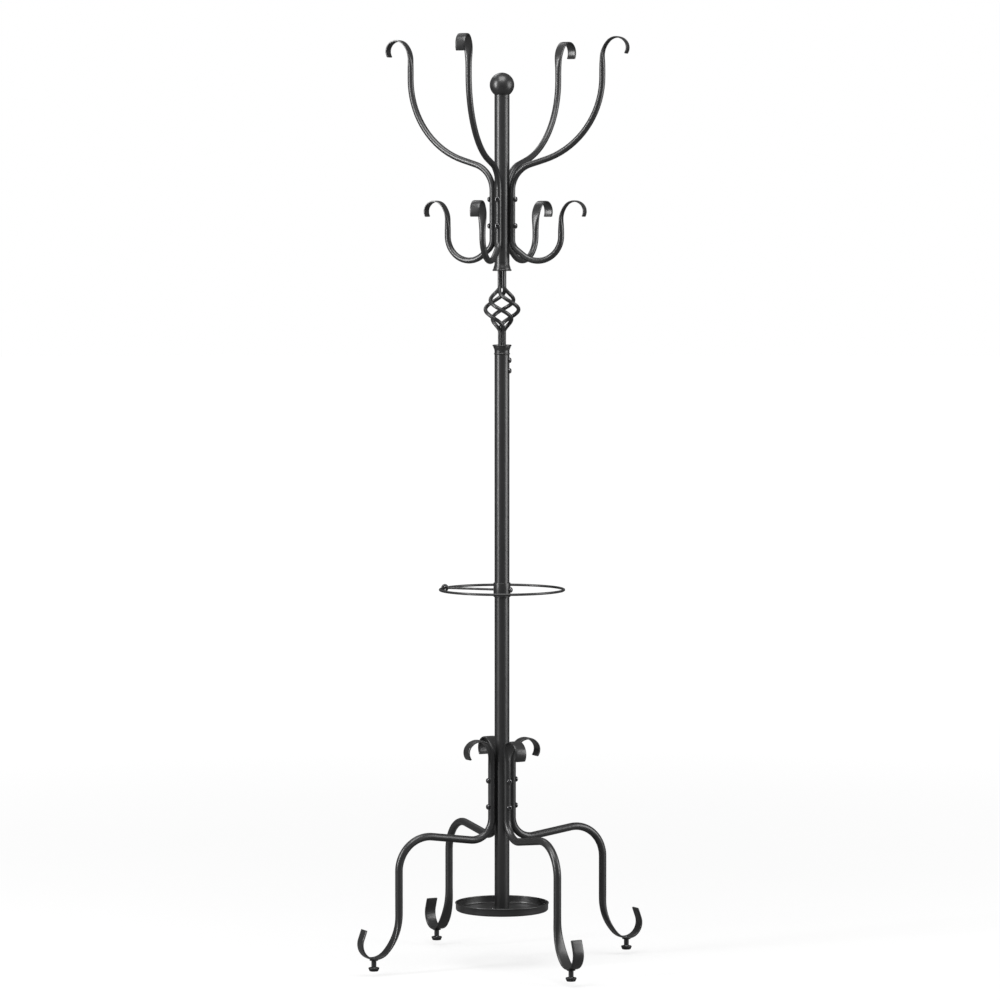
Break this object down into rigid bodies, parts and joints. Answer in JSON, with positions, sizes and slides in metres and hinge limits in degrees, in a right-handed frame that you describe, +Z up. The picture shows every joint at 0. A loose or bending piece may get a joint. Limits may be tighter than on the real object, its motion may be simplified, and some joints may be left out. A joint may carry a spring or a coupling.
{
  "type": "standing coat rack",
  "caption": "Free-standing metal coat rack: round post with a twisted basket, curled hooks, an umbrella ring, a drip tray and bent legs on levelling feet.",
  "frame": {"origin": "on the floor, on the post's axis, at the centre of the square that the legs span", "axes": "+Z up along the post; +X along leg 1 and +Y along leg 2, so the legs lie along the X and Y axes"},
  "size_m": [0.6254, 0.6254, 1.8097],
  "materials": {
    "powder_coat": "satin charcoal powder coat on steel",
    "black_fasteners": "glossy black oxide on steel",
    "foot_studs": "zinc plated steel",
    "foot_pads": "moulded black nylon"
  },
  "bodies": {
    "rack": {"ball_finial": "powder_coat", "upper_post": "powder_coat", "upper_collar": "powder_coat", "lower_collar": "powder_coat", "lower_post": "powder_coat", "umbrella_ring": "powder_coat", "ring_spoke": "powder_coat", "ring_collar": "powder_coat", "post_foot_plug": "powder_coat", "drip_tray": "powder_coat", "basket_rod_1": "powder_coat", "basket_rod_2": "powder_coat", "basket_rod_3": "powder_coat", "basket_rod_4": "powder_coat", "hook_bar_1": "powder_coat", "hook_bar_2": "powder_coat", "hook_bar_3": "powder_coat", "hook_bar_4": "powder_coat", "leg_1": "powder_coat", "leg_2": "powder_coat", "leg_3": "powder_coat", "leg_4": "powder_coat", "foot_sleeve_1": "powder_coat", "foot_sleeve_2": "powder_coat", "foot_sleeve_3": "powder_coat", "foot_sleeve_4": "powder_coat", "joint_screw_lower": "black_fasteners", "joint_screw_upper": "black_fasteners", "ring_cap_nut": "black_fasteners", "hook_screw_lower_1": "black_fasteners", "hook_screw_lower_2": "black_fasteners", "hook_screw_lower_3": "black_fasteners", "hook_screw_lower_4": "black_fasteners", "hook_screw_upper_1": "black_fasteners", "hook_screw_upper_2": "black_fasteners", "hook_screw_upper_3": "black_fasteners", "hook_screw_upper_4": "black_fasteners", "leg_screw_lower_1": "black_fasteners", "leg_screw_lower_2": "black_fasteners", "leg_screw_lower_3": "black_fasteners", "leg_screw_lower_4": "black_fasteners", "leg_screw_upper_1": "black_fasteners", "leg_screw_upper_2": "black_fasteners", "leg_screw_upper_3": "black_fasteners", "leg_screw_upper_4": "black_fasteners", "tray_screw_1": "black_fasteners", "tray_screw_2": "black_fasteners", "tray_screw_3": "black_fasteners"},
    "pad_1": {"foot_pad_1": "foot_pads"},
    "stud_1": {"foot_stud_1": "foot_studs"},
    "pad_2": {"foot_pad_2": "foot_pads"},
    "stud_2": {"foot_stud_2": "foot_studs"},
    "pad_3": {"foot_pad_3": "foot_pads"},
    "stud_3": {"foot_stud_3": "foot_studs"},
    "pad_4": {"foot_pad_4": "foot_pads"},
    "stud_4": {"foot_stud_4": "foot_studs"}
  },
  "joints": [
    {"name": "foot_height_1", "type": "slide", "parent": "rack", "child": "pad_1", "axis": [0, 0, -1], "range_m": [-0.001, 0.01]},
    {"name": "stud_turn_1", "type": "hinge", "parent": "pad_1", "child": "stud_1", "pos_m": [0.28175, 0, 0.01], "axis": [0, 0, -1], "range_deg": [-361, 3601]},
    {"name": "foot_height_2", "type": "slide", "parent": "rack", "child": "pad_2", "axis": [0, 0, -1], "range_m": [-0.001, 0.01]},
    {"name": "stud_turn_2", "type": "hinge", "parent": "pad_2", "child": "stud_2", "pos_m": [0, 0.28175, 0.01], "axis": [0, 0, -1], "range_deg": [-361, 3601]},
    {"name": "foot_height_3", "type": "slide", "parent": "rack", "child": "pad_3", "axis": [0, 0, -1], "range_m": [-0.001, 0.01]},
    {"name": "stud_turn_3", "type": "hinge", "parent": "pad_3", "child": "stud_3", "pos_m": [-0.28175, 0, 0.01], "axis": [0, 0, -1], "range_deg": [-361, 3601]},
    {"name": "foot_height_4", "type": "slide", "parent": "rack", "child": "pad_4", "axis": [0, 0, -1], "range_m": [-0.001, 0.01]},
    {"name": "stud_turn_4", "type": "hinge", "parent": "pad_4", "child": "stud_4", "pos_m": [0, -0.28175, 0.01], "axis": [0, 0, -1], "range_deg": [-361, 3601]}
  ],
  "couplings": [
    {"joint": "stud_turn_1", "follows": "foot_height_1", "rad_per_m": 6283.2},
    {"joint": "stud_turn_2", "follows": "foot_height_2", "rad_per_m": 6283.2},
    {"joint": "stud_turn_3", "follows": "foot_height_3", "rad_per_m": 6283.2},
    {"joint": "stud_turn_4", "follows": "foot_height_4", "rad_per_m": 6283.2}
  ]
}
